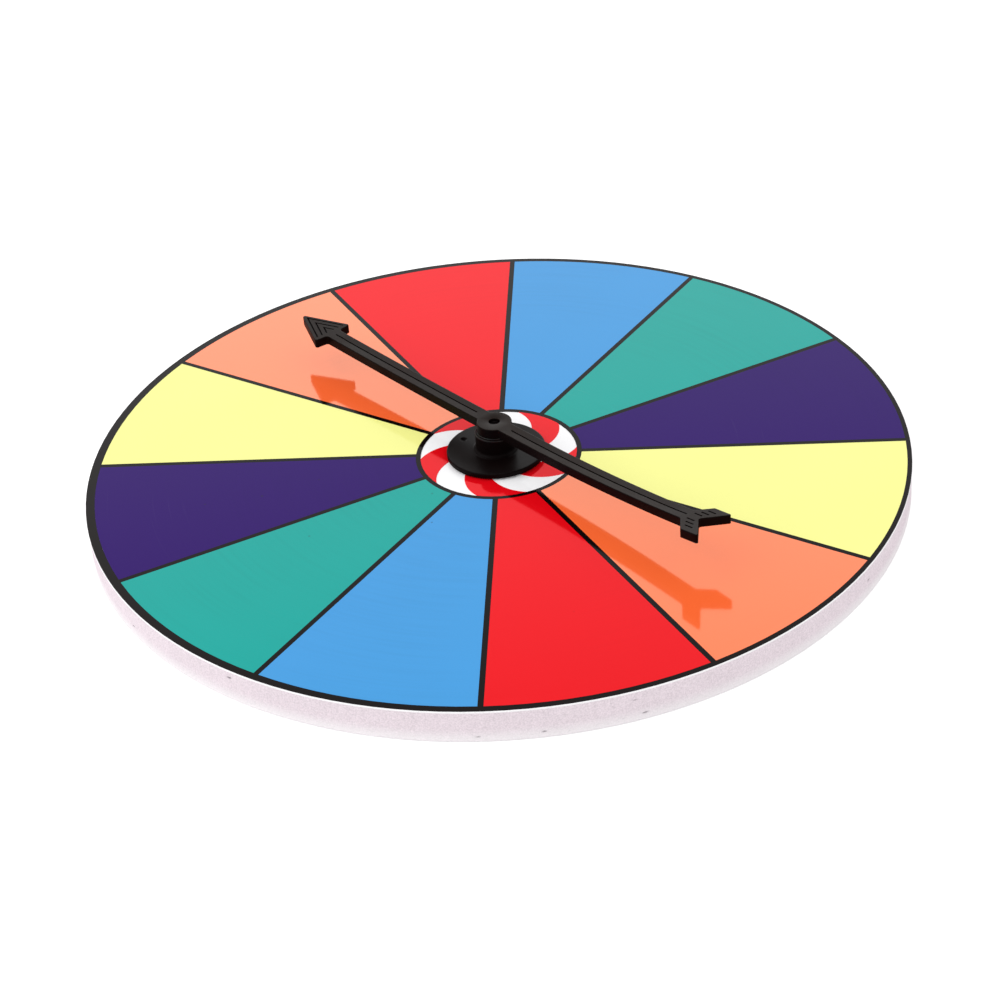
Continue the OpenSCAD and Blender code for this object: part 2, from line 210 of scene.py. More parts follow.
class StageSettings(bpy.types.PropertyGroup):
    """Floor, light and camera"""
    floor_size: size("Floor size", "Side of the floor", 12.0)
    floor_gap: size("Floor gap", "How far the floor lies under the board", 0.05 * MM)
    floor: colour("Floor", "Colour of the floor", (0.90, 0.90, 0.90))
    floor_lift: share("Floor lift", "White that the floor adds for the camera", 0.35)
    fill: share("Fill", "Strength of the even light from all round", 0.74)
    ceiling: share("Ceiling", "Brightness overhead, where the horizon's is 1", 0.30)
    camera_azimuth: turn("Camera azimuth", "Direction of the camera round the board", 4.645)
    camera_elevation: turn("Camera elevation", "Height of the camera as an angle", 32.517)
    camera_distance: size("Camera distance", "Camera to the middle of the face", 885.64 * MM)
    camera_yaw: turn("Camera yaw", "How far the camera looks to the right of the middle", -0.003)
    camera_pitch: turn("Camera pitch", "How far the camera looks above the middle", -1.127)
    camera_roll: turn("Camera roll", "Tilt of the camera about its view", 4.399)
    camera_lens: bpy.props.FloatProperty(
        name="Lens", description="Focal length on a 36 mm sensor", default=85.8, unit="CAMERA")


class WheelSettings(bpy.types.PropertyGroup):
    """All settings of the game wheel"""
    board: bpy.props.PointerProperty(type=BoardSettings)
    inks: bpy.props.PointerProperty(type=PrintSettings)
    base: bpy.props.PointerProperty(type=BaseSettings)
    pointer: bpy.props.PointerProperty(type=PointerSettings)
    fixing: bpy.props.PointerProperty(type=FixingSettings)
    stage: bpy.props.PointerProperty(type=StageSettings)


# Meshes

class Shell:
    """Points and faces of one closed mesh, with each point's wear and each face's material number"""

    def __init__(self):
        self.points = []
        self.faces = []
        self.looks = []
        self.wear = []

    def face(self, corners, look=0):
        self.faces.append(tuple(corners))
        self.looks.append(look)

    def row(self, points, wear=0.0):
        start = len(self.points)
        self.points += [tuple(point) for point in points]
        self.wear += [wear] * len(points)
        return list(range(start, len(self.points)))

    def bridge(self, low, high, look=0):
        for i in range(len(low)):
            j = (i + 1) % len(low)
            self.face((low[i], low[j], high[j], high[i]), look)

    def cap(self, loops, upward=True, look=0):
        """Fills the first loop of point numbers, up to the loops of the holes that follow it"""
        numbers = [number for loop in loops for number in loop]
        flat = [Vector(self.points[number][:2]) for number in numbers]
        edges = []
        start = 0
        for loop in loops:
            edges += [(start + i, start + (i + 1) % len(loop)) for i in range(len(loop))]
            start += len(loop)
        _, _, faces, origins, _, _ = delaunay_2d_cdt(flat, edges, [], 0, 1e-9)
        faces = [[origins[i][0] for i in face] for face in faces]
        rims = {frozenset(edge) for edge in edges}
        beside = {}
        for number, face in enumerate(faces):
            for i in range(3):
                beside.setdefault(frozenset((face[i - 1], face[i])), []).append(number)
        # Faces from the hull inwards, where each crossing of a loop changes between kept and left out
        kept = {}
        queue = [(sides[0], edge in rims) for edge, sides in beside.items() if len(sides) == 1]
        while queue:
            number, within = queue.pop()
            if number in kept:
                continue
            kept[number] = within
            face = faces[number]
            for i in range(3):
                edge = frozenset((face[i - 1], face[i]))
                queue += [(other, within != (edge in rims)) for other in beside[edge]]
        for number, face in enumerate(faces):
            if kept[number]:
                corners = [numbers[i] for i in face]
                self.face(corners if upward else reversed(corners), look)

    def make(self, name, place=None, sharp=35.0):
        mesh = bpy.data.meshes.new(name)
        mesh.from_pydata(self.points, [], self.faces)
        wear = mesh.attributes.new("edge_wear", "FLOAT", "POINT")
        wear.data.foreach_set("value", self.wear)
        mesh.polygons.foreach_set("material_index", self.looks)
        if place:
            mesh.transform(place)
        mesh.validate()
        mesh.shade_smooth()
        mesh.set_sharp_from_angle(angle=math.radians(sharp))
        piece = bpy.data.objects.new(name, mesh)
        bpy.context.scene.collection.objects.link(piece)
        return piece


def arc(centre, radius, start, end, steps):
    angles = [start + (end - start) * i / steps for i in range(steps + 1)]
    return [Vector((centre[0] + radius * math.cos(a), centre[1] + radius * math.sin(a))) for a in angles]


def rounded(corners, steps=5):
    """A closed flat outline through (x, y, radius) corners, with an arc at each corner that has a radius"""
    path = []
    for i, (x, y, radius) in enumerate(corners):
        here = Vector((x, y))
        if radius <= 0:
            path.append(here)
            continue
        back = (Vector(corners[i - 1][:2]) - here).normalized()
        ahead = (Vector(corners[(i + 1) % len(corners)][:2]) - here).normalized()
        half = back.angle(ahead) / 2
        centre = here + (back + ahead).normalized() * (radius / math.sin(half))
        first = here + back * (radius / math.tan(half)) - centre
        last = here + ahead * (radius / math.tan(half)) - centre
        start = math.atan2(first.y, first.x)
        sweep = math.atan2(last.y, last.x) - start
        sweep = (sweep + math.pi) % (2 * math.pi) - math.pi
        path += arc(centre, radius, start, start + sweep, steps)
    return path


def inset(outline, distance):
    """An anticlockwise outline moved inwards by a distance"""
    moved = []
    for i, here in enumerate(outline):
        before = (here - outline[i - 1]).normalized()
        after = (outline[(i + 1) % len(outline)] - here).normalized()
        left = Vector((-before.y - after.y, before.x + after.x))
        moved.append(here + left * (distance / (1.0 + before.dot(after))))
    return moved


def divided(outline, longest):
    """An outline whose long edges are cut into equal lengths"""
    path = []
    for here, after in zip(outline, outline[1:] + outline[:1]):
        count = max(1, math.ceil((after - here).length / longest))
        path += [here.lerp(after, i / count) for i in range(count)]
    return path


def turned(shell, section, sides, closed=True, dull=()):
    """Turns an anticlockwise half section of (radius, height) points about the axis, the dull rows on the
    second material of painted shade
    """
    angles = [2 * math.pi * i / sides for i in range(sides)]
    rows = []
    for radius, height in section:
        rows.append(shell.row([(radius * math.cos(a), radius * math.sin(a), height) for a in angles]))
    count = len(rows) if closed else len(rows) - 1
    for i in range(count):
        j = (i + 1) % len(rows)
        shell.bridge(rows[i], rows[j], 1 if i in dull else 0)
    return rows


# Materials

def add_node(tree, kind, inputs=None, **settings):
    """A node with its settings, and its inputs given as values or as the sockets that feed them"""
    made = tree.nodes.new(kind)
    for name, value in settings.items():
        setattr(made, name, value)
    for name, value in (inputs or {}).items():
        socket = made.inputs[name]
        if isinstance(value, bpy.types.NodeSocket):
            tree.links.new(value, socket)
        else:
            socket.default_value = value
    return made


def maths(tree, operation, *values, clamp=False):
    inputs = dict(enumerate(values))
    return add_node(tree, "ShaderNodeMath", inputs, operation=operation, use_clamp=clamp).outputs[0]


def remap(tree, value, low, high, to_low=0.0, to_high=1.0):
    inputs = {"Value": value, "From Min": low, "From Max": high, "To Min": to_low, "To Max": to_high}
    made = add_node(tree, "ShaderNodeMapRange", inputs, interpolation_type="SMOOTHSTEP")
    return made.outputs["Result"]


def blended(tree, factor, first, second, way="MIX"):
    made = add_node(tree, "ShaderNodeMix", data_type="RGBA", blend_type=way)
    for socket, value in zip((made.inputs[0], made.inputs[6], made.inputs[7]), (factor, first, second)):
        if isinstance(value, bpy.types.NodeSocket):
            tree.links.new(value, socket)
        else:
            socket.default_value = value
    return made.outputs[2]


def noise(tree, vector, scale, detail=2.0, roughness=0.5):
    inputs = {"Vector": vector, "Scale": scale, "Detail": detail, "Roughness": roughness}
    return add_node(tree, "ShaderNodeTexNoise", inputs).outputs[0]


def stretched(tree, vector, scale):
    return add_node(tree, "ShaderNodeMapping", {"Vector": vector, "Scale": scale}).outputs[0]


def new_group(name, inputs, outputs):
    """An empty shader group with named sockets, and its input and output nodes"""
    tree = bpy.data.node_groups.new(name, "ShaderNodeTree")
    for socket, (kind, value) in inputs.items():
        made = tree.interface.new_socket(name=socket, in_out="INPUT", socket_type="NodeSocket" + kind)
        made.default_value = value
    for socket, kind in outputs.items():
        tree.interface.new_socket(name=socket, in_out="OUTPUT", socket_type="NodeSocket" + kind)
    return tree, tree.nodes.new("NodeGroupInput").outputs, tree.nodes.new("NodeGroupOutput").inputs


def polar_parts(tree, spot):
    """Distance from the object's axis and angle round it"""
    parts = add_node(tree, "ShaderNodeSeparateXYZ", {0: spot}).outputs
    squares = [maths(tree, "MULTIPLY", parts[i], parts[i]) for i in (0, 1)]
    reach = maths(tree, "SQRT", maths(tree, "ADD", *squares))
    return reach, maths(tree, "ARCTAN2", parts[1], parts[0])


def even_shade(tree, factor, shade):
    """A colour made lighter or darker by a factor"""
    grey = add_node(tree, "ShaderNodeCombineXYZ", {0: factor, 1: factor, 2: factor}).outputs[0]
    return blended(tree, 1.0, shade, grey, "MULTIPLY")


def about(tree, value, middle, strength):
    """How far a value lies from its middle, times a strength"""
    return maths(tree, "MULTIPLY", maths(tree, "SUBTRACT", value, middle), strength)


def gloss_film_group():
    """Print under a gloss film: uneven ink, smudges and rubs round the axis, specks and a fine grain"""
    white = (1.0, 1.0, 1.0, 1.0)
    tree, given, result = new_group(
        "gloss film",
        {"Colour": ("Color", white), "Unevenness": ("Float", 0.05), "Smudges": ("Float", 0.3),
         "Rub": ("Float", 0.05), "Specks": ("Float", 0.3), "Gloss Roughness": ("Float", 0.08)},
        {"Colour": "Color", "Roughness": "Float", "Height": "Float"})
    spot = add_node(tree, "ShaderNodeTexCoord").outputs["Object"]
    reach, angle = polar_parts(tree, spot)
    polar = add_node(tree, "ShaderNodeCombineXYZ", {0: maths(tree, "MULTIPLY", reach, 520.0),
                                                   1: maths(tree, "MULTIPLY", angle, 1.6), 2: 3.1}).outputs[0]
    strokes = noise(tree, polar, 1.0, 3.0, 0.6)
    patches = noise(tree, spot, 17.0, 1.0)
    rub = maths(tree, "MULTIPLY", remap(tree, strokes, 0.62, 0.78), remap(tree, patches, 0.50, 0.68))
    rub = maths(tree, "MULTIPLY", rub, given["Rub"])
    smudges = maths(tree, "MULTIPLY", remap(tree, strokes, 0.40, 0.68), remap(tree, patches, 0.58, 0.38))
    smudges = maths(tree, "MULTIPLY", smudges, given["Smudges"])
    cells = add_node(tree, "ShaderNodeTexVoronoi", {"Vector": spot, "Scale": 95.0})
    chance = add_node(tree, "ShaderNodeSeparateColor", {0: cells.outputs["Color"]}).outputs[0]
    dots = remap(tree, cells.outputs["Distance"], 0.035, 0.055, 1.0, 0.0)
    specks = maths(tree, "MULTIPLY", dots, remap(tree, chance, 0.80, 0.82))
    specks = maths(tree, "MULTIPLY", specks, given["Specks"])
    fine = noise(tree, spot, 1500.0, 2.0)
    tone = maths(tree, "ADD", about(tree, noise(tree, spot, 26.0, 3.0), 0.5, given["Unevenness"]),
                 about(tree, fine, 0.5, maths(tree, "MULTIPLY", given["Unevenness"], 0.8)))
    factor = maths(tree, "SUBTRACT", maths(tree, "ADD", 1.0, tone), maths(tree, "MULTIPLY", smudges, 0.05))
    ink = even_shade(tree, factor, given["Colour"])
    pale = blended(tree, maths(tree, "MULTIPLY", rub, 0.35), ink, white)
    tree.links.new(blended(tree, specks, pale, (0.02, 0.018, 0.02, 1.0)), result["Colour"])
    rough = maths(tree, "ADD", given["Gloss Roughness"], maths(tree, "MULTIPLY", rub, 0.35))
    tree.links.new(maths(tree, "ADD", rough, about(tree, fine, 0.5, 0.03)), result["Roughness"])
    ripple = maths(tree, "MULTIPLY", noise(tree, spot, 210.0, 1.0), 0.06)
    swell = maths(tree, "ADD", noise(tree, spot, 38.0, 1.0), ripple)
    tree.links.new(maths(tree, "ADD", swell, maths(tree, "MULTIPLY", fine, 0.06)), result["Height"])
    return tree


def moulded_group():
    """Moulded plastic: fine grain, rubbed edges, tool marks in rings near the axis and lines beyond"""
    grey = (0.02, 0.02, 0.02, 1.0)
    tree, given, result = new_group(
        "moulded plastic",
        {"Colour": ("Color", grey), "Worn Colour": ("Color", grey), "Edge": ("Float", 0.0),
         "Grain": ("Float", 2600.0), "Base Roughness": ("Float", 0.42), "Ring Reach": ("Float", 1.0),
         "Line Turn": ("Float", 0.0), "Marks": ("Float", 0.5)},
        {"Colour": "Color", "Roughness": "Float", "Height": "Float"})
    spot = add_node(tree, "ShaderNodeTexCoord").outputs["Object"]
    cloud = noise(tree, spot, 90.0, 3.0)
    grain = noise(tree, spot, given["Grain"], 2.0)
    reach, _ = polar_parts(tree, spot)
    rings = noise(tree, add_node(tree, "ShaderNodeCombineXYZ", {0: reach}).outputs[0], 2400.0, 2.0)
    ahead = add_node(tree, "ShaderNodeVectorRotate", {"Vector": spot, "Angle": given["Line Turn"]},
                     rotation_type="Z_AXIS", invert=True).outputs[0]
    lines = noise(tree, stretched(tree, ahead, (12.0, 2000.0, 12.0)), 1.0, 2.0)
    inner = maths(tree, "LESS_THAN", reach, given["Ring Reach"])
    cut = maths(tree, "ADD", lines, maths(tree, "MULTIPLY", maths(tree, "SUBTRACT", rings, lines), inner))
    marks = about(tree, cut, 0.5, given["Marks"])
    chafe = maths(tree, "MULTIPLY", given["Edge"], remap(tree, noise(tree, spot, 420.0, 3.0), 0.36, 0.62))
    factor = maths(tree, "ADD", remap(tree, cloud, 0.2, 0.8, 0.8, 1.25), marks)
    toned = even_shade(tree, factor, given["Colour"])
    tree.links.new(blended(tree, chafe, toned, given["Worn Colour"]), result["Colour"])
    rough = maths(tree, "ADD", given["Base Roughness"], remap(tree, cloud, 0.25, 0.75, -0.05, 0.06))
    tree.links.new(maths(tree, "ADD", rough, maths(tree, "MULTIPLY", marks, 0.25)), result["Roughness"])
    tree.links.new(maths(tree, "ADD", grain, marks), result["Height"])
    return tree


def foam_group():
    """Closed-cell foam: sandy cut cells, cutter marks, open cells in painted shade, a pale skin on top and a
    foot paled by painted bounce light
    """
    pale = (0.9, 0.9, 0.9, 1.0)
    tree, given, result = new_group(
        "cell foam",
        {"Colour": ("Color", pale), "Cells": ("Float", 1200.0), "Pit": ("Float", 0.0),
         "Contrast": ("Float", 0.12), "Skin Start": ("Float", 1.0), "Skin End": ("Float", 2.0),
         "Painted Bounce Height": ("Float", 0.00001)},
        {"Colour": "Color", "Roughness": "Float", "Height": "Float"})
    spot = add_node(tree, "ShaderNodeTexCoord").outputs["Object"]
    level = add_node(tree, "ShaderNodeSeparateXYZ", {0: spot}).outputs[2]
    skin = remap(tree, level, given["Skin Start"], given["Skin End"])
    cells = add_node(tree, "ShaderNodeTexVoronoi", {"Vector": spot, "Scale": given["Cells"]})
    cells = cells.outputs["Distance"]
    sand = noise(tree, spot, 1900.0, 1.0, 0.6)
    streaks = noise(tree, stretched(tree, spot, (1.0, 1.0, 0.16)), 950.0, 1.0)
    broad = noise(tree, spot, 60.0, 3.0)
    tone = about(tree, sand, 0.5, 1.8)
    for pattern, middle, weight in ((cells, 0.45, 0.5), (streaks, 0.5, 0.4), (broad, 0.5, 0.3)):
        tone = maths(tree, "ADD", tone, about(tree, pattern, middle, weight))
    cut = maths(tree, "MULTIPLY", given["Contrast"], maths(tree, "SUBTRACT", 1.0, skin))
    factor = maths(tree, "SUBTRACT", 1.0, maths(tree, "MULTIPLY", tone, cut))
    grey = even_shade(tree, factor, given["Colour"])
    # Painted bounce light: up to the given height, the foot of the cut edge fades towards the pale skin
    # colour
    foot = remap(tree, level, 0.0, given["Painted Bounce Height"], 0.75, 0.0)
    skin_and_painted_bounce = blended(tree, maths(tree, "MAXIMUM", skin, foot), grey, (0.97, 0.95, 0.96, 1.0))
    # Painted shade: the stored pit mask darkens the open cells
    tree.links.new(blended(tree, given["Pit"], skin_and_painted_bounce, (0.16, 0.13, 0.15, 1.0)), result["Colour"])
    tree.links.new(remap(tree, sand, 0.2, 0.8, 0.78, 0.95), result["Roughness"])
    height = maths(tree, "SUBTRACT", maths(tree, "MULTIPLY", sand, 0.6), cells)
    tree.links.new(height, result["Height"])
    return tree


def shared_group(name):
    makers = {"gloss film": gloss_film_group, "moulded plastic": moulded_group, "cell foam": foam_group}
    return bpy.data.node_groups.get(name) or makers[name]()


def opaque(value):
    return (value[0], value[1], value[2], 1.0)


def dressed(name, group, inputs, bump_height, constants=None, attributes=None):
    """A material whose colour, roughness and bump come from one of the shared groups"""
    material = bpy.data.materials.new(name)
    material.use_nodes = True
    tree = material.node_tree
    surface = tree.nodes["Principled BSDF"]
    effect = add_node(tree, "ShaderNodeGroup", node_tree=shared_group(group))
    for socket, value in inputs.items():
        effect.inputs[socket].default_value = value
    for socket, attribute in (attributes or {}).items():
        source = add_node(tree, "ShaderNodeAttribute", attribute_name=attribute)
        tree.links.new(source.outputs["Fac"], effect.inputs[socket])
    bump = add_node(tree, "ShaderNodeBump", {"Height": effect.outputs["Height"], "Strength": 1.0,
                                            "Distance": bump_height})
    tree.links.new(effect.outputs["Colour"], surface.inputs["Base Color"])
    tree.links.new(effect.outputs["Roughness"], surface.inputs["Roughness"])
    tree.links.new(bump.outputs["Normal"], surface.inputs["Normal"])
    for socket, value in (constants or {}).items():
        surface.inputs[socket].default_value = value
    return material


def steel_material(name, shade):
    """Zinc-plated steel with cloudy crystals and fine turning marks"""
    material = bpy.data.materials.new(name)
    material.use_nodes = True
    tree = material.node_tree
    surface = tree.nodes["Principled BSDF"]
    spot = add_node(tree, "ShaderNodeTexCoord").outputs["Object"]
    cloud = noise(tree, spot, 420.0, 4.0)
    reach, _ = polar_parts(tree, spot)
    marks = noise(tree, add_node(tree, "ShaderNodeCombineXYZ", {0: reach}).outputs[0], 9000.0, 2.0)
    dark = tuple(0.62 * value for value in shade) + (1.0,)
    crystals = blended(tree, remap(tree, cloud, 0.3, 0.7), dark, opaque(shade))
    tree.links.new(crystals, surface.inputs["Base Color"])
    rough = remap(tree, cloud, 0.25, 0.75, 0.28, 0.46)
    rough = maths(tree, "ADD", rough, maths(tree, "MULTIPLY", marks, 0.06))
    tree.links.new(rough, surface.inputs["Roughness"])
    bump = add_node(tree, "ShaderNodeBump", {"Height": marks, "Strength": 0.6, "Distance": 0.02 * MM})
    tree.links.new(bump.outputs["Normal"], surface.inputs["Normal"])
    surface.inputs["Metallic"].default_value = 1.0
    return material


def settle(piece, materials, body, node):
    """Gives a finished piece its materials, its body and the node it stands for"""
    looks = [face.material_index for face in piece.data.polygons]
    piece.data.materials.clear()
    for material in materials:
        piece.data.materials.append(material)
    piece.data.polygons.foreach_set("material_index", looks)
    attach(piece, body)
    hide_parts(node)


def coat_node(node, material):
    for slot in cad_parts[node].material_slots:
        slot.material = material


# Foam board

def edge_tree():
    """Geometry nodes that roughen the cut edge of a foam disc"""
    tree = bpy.data.node_groups.new("cut foam edge", "GeometryNodeTree")
    tree.interface.new_socket(name="Geometry", in_out="INPUT", socket_type="NodeSocketGeometry")
    for name in ("Wave Size", "Wave Depth", "Streak Width", "Streak Depth", "Pit Spacing", "Pit Width",
                 "Pit Flatness", "Pit Depth", "Seed"):
        tree.interface.new_socket(name=name, in_out="INPUT", socket_type="NodeSocketFloat")
    tree.interface.new_socket(name="Material", in_out="INPUT", socket_type="NodeSocketMaterial")
    tree.interface.new_socket(name="Geometry", in_out="OUTPUT", socket_type="NodeSocketGeometry")
    given = tree.nodes.new("NodeGroupInput").outputs
    result = tree.nodes.new("NodeGroupOutput").inputs
    spot = add_node(tree, "GeometryNodeInputPosition").outputs[0]
    normal = add_node(tree, "GeometryNodeInputNormal").outputs[0]
    stored = add_node(tree, "GeometryNodeInputNamedAttribute", {"Name": "cut_edge"}, data_type="FLOAT")
    mask = stored.outputs[0]

    def spread(vector, width):
        share_of = maths(tree, "DIVIDE", 1.0, width)
        made = add_node(tree, "ShaderNodeVectorMath", {0: vector, "Scale": share_of}, operation="SCALE")
        return made.outputs[0]

    def stretch(vector, by):
        return add_node(tree, "ShaderNodeVectorMath", {0: vector, 1: by}, operation="MULTIPLY").outputs[0]

    def random_noise(vector):
        inputs = {"Vector": vector, "W": given["Seed"], "Scale": 1.0, "Detail": 2.0}
        return add_node(tree, "ShaderNodeTexNoise", inputs, noise_dimensions="4D").outputs[0]

    waves = maths(tree, "MULTIPLY", random_noise(spread(spot, given["Wave Size"])), given["Wave Depth"])
    upright = stretch(spot, (1.0, 1.0, 0.1))
    streaks = random_noise(spread(upright, given["Streak Width"]))
    streaks = maths(tree, "MULTIPLY", streaks, given["Streak Depth"])
    flat = add_node(tree, "ShaderNodeCombineXYZ", {0: 1.0, 1: 1.0, 2: given["Pit Flatness"]}).outputs[0]
    tall = stretch(spot, flat)
    spots = {"Vector": spread(tall, given["Pit Spacing"]), "W": given["Seed"], "Scale": 1.0}
    cells = add_node(tree, "ShaderNodeTexVoronoi", spots, voronoi_dimensions="4D")
    away = maths(tree, "MULTIPLY", cells.outputs["Distance"], given["Pit Spacing"])
    near = maths(tree, "SUBTRACT", 1.0, maths(tree, "DIVIDE", away, given["Pit Width"]), clamp=True)
    bowl = maths(tree, "SMOOTH_MIN", maths(tree, "MULTIPLY", near, 2.0), 1.0, 0.2)
    pit_dent_and_shade = maths(tree, "MULTIPLY", bowl, mask)
    depth = maths(tree, "ADD", maths(tree, "MULTIPLY", maths(tree, "ADD", waves, streaks), mask),
                  maths(tree, "MULTIPLY", pit_dent_and_shade, given["Pit Depth"]))
    inward = {0: normal, "Scale": maths(tree, "MULTIPLY", depth, -1.0)}
    offset = add_node(tree, "ShaderNodeVectorMath", inward, operation="SCALE").outputs[0]
    move = {"Geometry": given["Geometry"], "Offset": offset}
    moved = add_node(tree, "GeometryNodeSetPosition", move).outputs[0]
    # The pit mask is stored for the material's painted shade in the open cells
    store = {"Geometry": moved, "Name": "pit_shade_mask", "Value": pit_dent_and_shade}
    kept = add_node(tree, "GeometryNodeStoreNamedAttribute", store, data_type="FLOAT", domain="POINT")
    real = add_node(tree, "GeometryNodeRealizeInstances", {0: kept.outputs[0]}).outputs[0]
    paint = {"Geometry": real, "Material": given["Material"]}
    painted = add_node(tree, "GeometryNodeSetMaterial", paint).outputs[0]
    tree.links.new(painted, result["Geometry"])
    return tree


def foam_disc(board):
    """The plain disc, with rows of points on its cut edge for the nodes to move"""
    top, low = board.top_round, board.low_round
    recess, depth = board.recess_radius, board.recess_depth
    edge_low, edge_high = low, board.thickness - top
    rows, sides, fade = 36, 1800, 2
    heights = [edge_low + (edge_high - edge_low) * i / rows for i in range(rows + 1)]
    section = [Vector((board.hole_radius, depth)), Vector((recess, depth))]
    section += [Vector((recess, low)), Vector((recess + low, 0.0))]
    section += arc((board.radius - low, low), low, -math.pi / 2, 0.0, 4)[:-1]
    first = len(section)
    section += [Vector((board.radius, height)) for height in heights]
    last = len(section)
    section += arc((board.radius - top, board.thickness - top), top, 0.0, math.pi / 2, 3)[1:]
    section += [Vector((board.hole_radius, board.thickness))]
    shell = Shell()
    turned(shell, section, sides)
    piece = shell.make("foam_disc")
    edge = piece.data.attributes.new("cut_edge", "FLOAT", "POINT")
    masks = [0.0] * len(section)
    for i in range(first, last):
        masks[i] = min(1.0, (i - first) / fade, (last - 1 - i) / fade)
    edge.data.foreach_set("value", [mask for mask in masks for _ in range(sides)])
    return piece


class WHEEL_OT_foam_board(bpy.types.Operator):
    """Cuts the foam board and roughens its edge"""
    bl_idname = "game_wheel.foam_board"
    bl_label = "Foam board"

    def execute(self, context):
        board = context.scene.game_wheel.board
        top = board.thickness
        # The lower half of the edge gets painted bounce light, and its open cells painted shade
        look = {"Colour": opaque(board.foam), "Cells": 1300.0, "Contrast": 0.24,
                "Skin Start": top - 1.6 * board.skin, "Skin End": top - 0.8 * board.skin, "Painted Bounce Height": 0.5 * top}
        gloss = {"Specular IOR Level": 0.25}
        material = dressed("cut foam", "cell foam", look, 0.12 * MM, gloss, {"Pit": "pit_shade_mask"})
        piece = foam_disc(board)
        tree = edge_tree()
        modifier = piece.modifiers.new("edge", "NODES")
        modifier.node_group = tree
        values = {
            "Wave Size": board.wave_size, "Wave Depth": board.wave_depth,
            "Streak Width": board.streak_width, "Streak Depth": board.streak_depth,
            "Pit Spacing": board.pit_spacing, "Pit Width": board.pit_width,
            "Pit Flatness": board.pit_flatness, "Pit Depth": board.pit_depth,
            "Seed": 7.0, "Material": material,
        }
        for item in tree.interface.items_tree:
            if item.in_out == "INPUT" and item.name in values:
                modifier[item.identifier] = values[item.name]
        shaped = bpy.data.meshes.new_from_object(piece.evaluated_get(context.evaluated_depsgraph_get()))
        piece.modifiers.remove(modifier)
        piece.data = shaped
        settle(piece, [material], "board", "foam_board")
        return {"FINISHED"}


# Printed face

class WHEEL_OT_printed_face(bpy.types.Operator):
    """Gives the sheet and each ink its gloss finish, and paints a faint glow into the white sheet, the yellow
    and the orange
    """
    bl_idname = "game_wheel.printed_face"
    bl_label = "Printed face"

    def execute(self, context):
        inks = context.scene.game_wheel.inks
        roughness = 0.08
        plain = {"Specular IOR Level": 0.30}
        dull = {"Specular IOR Level": 0.16}
        # Painted glow: the yellow, the white sheet and the orange emit a little light, which lifts them where
        # they lie in shade
        yellow_gloss_and_painted_glow = {"Specular IOR Level": 0.40,
                 "Emission Color": (1.0, 1.0, 0.0, 1.0), "Emission Strength": 0.05}
        deep = {"IOR": 2.62, "Specular Tint": (1.0, 0.08, 0.10, 1.0)}
        white_painted_glow = {"Emission Color": (0.95, 0.95, 1.0, 1.0), "Emission Strength": 0.06}
        orange_gloss_and_painted_glow = {"IOR": 2.40, "Specular Tint": (1.0, 0.95, 0.60, 1.0),
                 "Coat Weight": 1.0, "Coat Roughness": roughness,
                 "Emission Color": (1.0, 0.02, 0.0, 1.0), "Emission Strength": 0.20}
        finishes = {
            "face_sheet": ("white sheet", inks.white, white_painted_glow, 0.10, 0.0, 0.02),
            "outline_ink": ("black ink", inks.black, {"Specular IOR Level": 0.19}, 0.0, 0.0, 0.0),
            "red_ink": ("red ink", inks.red, deep, 0.40, 0.02, 0.25),
            "orange_ink": ("orange ink", inks.orange, orange_gloss_and_painted_glow, 0.40, 0.02, 0.15),
            "yellow_ink": ("yellow ink", inks.yellow, yellow_gloss_and_painted_glow, 0.10, 0.02, 0.10),
            "green_ink": ("green ink", inks.green, plain, 0.80, 0.05, 0.30),
            "blue_ink": ("blue ink", inks.blue, plain, 0.70, 0.05, 0.40),
            "purple_ink": ("purple ink", inks.purple, dull, 0.40, 0.02, 0.50),
            "swirl_ink": ("swirl ink", inks.swirl, deep, 0.10, 0.0, 0.0),
        }
        for node, (name, tint, gloss, smudges, rub, specks) in finishes.items():
            inputs = {"Colour": opaque(tint), "Unevenness": 0.06, "Smudges": smudges, "Rub": rub,
                      "Specks": specks, "Gloss Roughness": roughness}
            coat_node(node, dressed(name, "gloss film", inputs, 0.010 * MM, gloss))
        return {"FINISHED"}


# Spinner base

def painted_shade_wall_material(base):
    """Painted shade: a darker, duller copy of the black plastic for the mouldings' upright walls, grooves and
    holes
    """
    inputs = {"Colour": opaque(base.wall), "Worn Colour": opaque(base.wall), "Grain": 2400.0,
              "Base Roughness": 0.5}
    return bpy.data.materials.get("painted shade wall") or dressed(
        "painted shade wall", "moulded plastic", inputs, 0.012 * MM, {"Specular IOR Level": 0.05})


def base_section(base):
    """Half section of the flange and post, from the screw's hole to the pin's root, and its dull rows of
    painted shade
    """
    low = BASE_LOW.z
    flange = low + base.flange_thickness
    post_top = THRUST_LOW.z
    hollow = base.post_radius - base.post_wall
    fillet = base.post_fillet
    foot = 0.1 * MM
    flat_rows, fillet_rows = 30, 12
    section = [Vector((base.pilot_radius, low + base.pilot_depth)), Vector((base.pilot_radius, low))]
    section += [Vector((base.boss_radius, low)), Vector((base.boss_radius, post_top - base.post_wall))]
    section += [Vector((hollow, post_top - base.post_wall)), Vector((hollow, low))]
    section += [Vector((base.flange_radius - foot, low)), Vector((base.flange_radius, low + foot))]
    rim = base.flange_round
    # Dull rows of painted shade: the underside with most of the rim, then the fillet and the post's wall
    dull = list(range(len(section) + 4))
    section += arc((base.flange_radius - rim, flange - rim), rim, 0.0, math.pi / 2, 6)
    inner = base.post_radius + fillet
    outer = base.flange_radius - rim
    section += [Vector((outer + (inner - outer) * i / flat_rows, flange)) for i in range(1, flat_rows)]
    dull += range(len(section) + 3, len(section) + fillet_rows + 1)
    section += arc((inner, flange + fillet), fillet, -math.pi / 2, -math.pi, fillet_rows)
    edge = base.post_round
    section += [Vector((base.post_radius, post_top - edge - 0.2 * MM))]
    section += arc((base.post_radius - edge, post_top - edge), edge, 0.0, math.pi / 2, 6)
    section += [Vector((base.pin_radius, post_top)), Vector((base.pin_radius, THRUST_HIGH.z))]
    return section, dull


